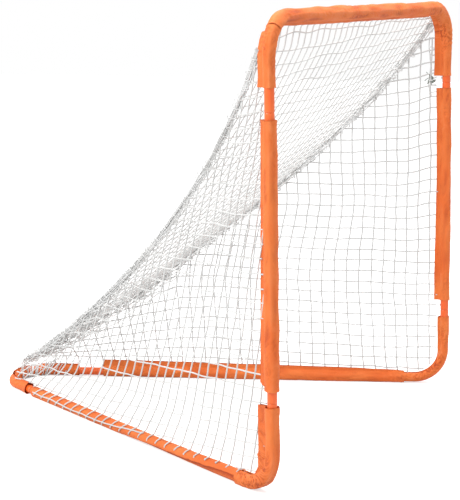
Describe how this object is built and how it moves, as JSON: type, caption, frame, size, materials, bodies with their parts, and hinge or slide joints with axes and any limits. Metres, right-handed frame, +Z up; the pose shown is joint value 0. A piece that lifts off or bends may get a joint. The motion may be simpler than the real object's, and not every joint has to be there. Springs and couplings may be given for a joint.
{
  "type": "practice sports goal with net",
  "caption": "Free-standing square practice goal: sleeved steel tubes in a V-base frame, with side nets and a sloping roof net laced to a rear apex.",
  "frame": {"origin": "on the ground under the middle of the goal's bounding box", "axes": "+Z up; +Y from the mouth to the rear apex, so the mouth faces -Y; +X to the right of a player who looks into the mouth"},
  "size_m": [1.2276, 1.2951, 1.2234],
  "materials": {
    "frame_paint": "powder coat, semi-gloss",
    "sleeve_fabric": "woven polyester sleeve, slightly wrinkled, faint sheen",
    "closure_tape": "hook-and-loop tape, matt",
    "zinc_steel": "zinc plated spring steel",
    "net_twine": "knotted polyester twine, matt",
    "net_lacing": "bunched twine lacing, matt"
  },
  "bodies": {
    "base": {"left_base_tube": "frame_paint", "right_base_tube": "frame_paint", "apex_tube": "frame_paint", "left_lower_corner_sleeve": "sleeve_fabric", "right_lower_corner_sleeve": "sleeve_fabric", "left_base_bar_sleeve": "sleeve_fabric", "right_base_bar_sleeve": "sleeve_fabric", "apex_sleeve": "sleeve_fabric", "left_base_bar_hook_strip": "closure_tape", "left_base_bar_loop_strip": "closure_tape", "right_base_bar_hook_strip": "closure_tape", "right_base_bar_loop_strip": "closure_tape", "left_lower_spring_clip": "zinc_steel", "right_lower_spring_clip": "zinc_steel", "left_rear_spring_clip": "zinc_steel", "right_rear_spring_clip": "zinc_steel", "left_net_panel": "net_twine", "right_net_panel": "net_twine", "roof_net_panel": "net_twine", "left_net_lacing": "net_lacing", "right_net_lacing": "net_lacing"},
    "left_post": {"left_post_tube": "frame_paint", "left_post_sleeve": "sleeve_fabric", "left_post_hook_strip": "closure_tape", "left_post_loop_strip": "closure_tape", "left_upper_spring_clip": "zinc_steel"},
    "right_post": {"right_post_tube": "frame_paint", "right_post_sleeve": "sleeve_fabric", "right_post_hook_strip": "closure_tape", "right_post_loop_strip": "closure_tape", "right_upper_spring_clip": "zinc_steel"},
    "top_frame": {"top_frame_tube": "frame_paint", "crossbar_sleeve": "sleeve_fabric", "crossbar_hook_strip": "closure_tape", "crossbar_loop_strip": "closure_tape", "left_upper_corner_sleeve": "sleeve_fabric", "right_upper_corner_sleeve": "sleeve_fabric"},
    "left_lower_snap": {"left_lower_button": "zinc_steel"},
    "left_upper_snap": {"left_upper_button": "zinc_steel"},
    "left_rear_snap": {"left_rear_button": "zinc_steel"},
    "right_lower_snap": {"right_lower_button": "zinc_steel"},
    "right_upper_snap": {"right_upper_button": "zinc_steel"},
    "right_rear_snap": {"right_rear_button": "zinc_steel"}
  },
  "joints": [
    {"name": "left_post_lift", "type": "slide", "parent": "base", "child": "left_post", "axis": [0, 0, 1], "range_m": [0, 0.07], "deforming": ["left_lower_button", "right_lower_button"]},
    {"name": "right_post_lift", "type": "slide", "parent": "base", "child": "right_post", "axis": [0, 0, 1], "range_m": [0, 0.07]},
    {"name": "top_frame_lift", "type": "slide", "parent": "left_post", "child": "top_frame", "axis": [0, 0, 1], "range_m": [0, 0.07], "deforming": ["left_upper_button", "right_upper_button"]},
    {"name": "left_lower_press", "type": "slide", "parent": "base", "child": "left_lower_snap", "axis": [-0.3852, -0.9228, 0], "range_m": [0, 0.0052], "stiffness_N_per_m": 800, "deforming": ["left_lower_spring_clip"]},
    {"name": "left_upper_press", "type": "slide", "parent": "left_post", "child": "left_upper_snap", "axis": [-0.3852, -0.9228, 0], "range_m": [0, 0.0052], "stiffness_N_per_m": 800, "deforming": ["left_upper_spring_clip"]},
    {"name": "left_rear_press", "type": "slide", "parent": "base", "child": "left_rear_snap", "axis": [-0.9228, 0.3852, 0], "range_m": [0, 0.0052], "stiffness_N_per_m": 800, "deforming": ["left_rear_spring_clip"]},
    {"name": "right_lower_press", "type": "slide", "parent": "base", "child": "right_lower_snap", "axis": [0.3852, -0.9228, 0], "range_m": [0, 0.0052], "stiffness_N_per_m": 800, "deforming": ["right_lower_spring_clip"]},
    {"name": "right_upper_press", "type": "slide", "parent": "right_post", "child": "right_upper_snap", "axis": [0.3852, -0.9228, 0], "range_m": [0, 0.0052], "stiffness_N_per_m": 800, "deforming": ["right_upper_spring_clip"]},
    {"name": "right_rear_press", "type": "slide", "parent": "base", "child": "right_rear_snap", "axis": [-0.9228, -0.3852, 0], "range_m": [0, 0.0052], "stiffness_N_per_m": 800, "deforming": ["right_rear_spring_clip"]}
  ],
  "couplings": [
    {"joint": "right_post_lift", "follows": "left_post_lift", "ratio": 1}
  ]
}
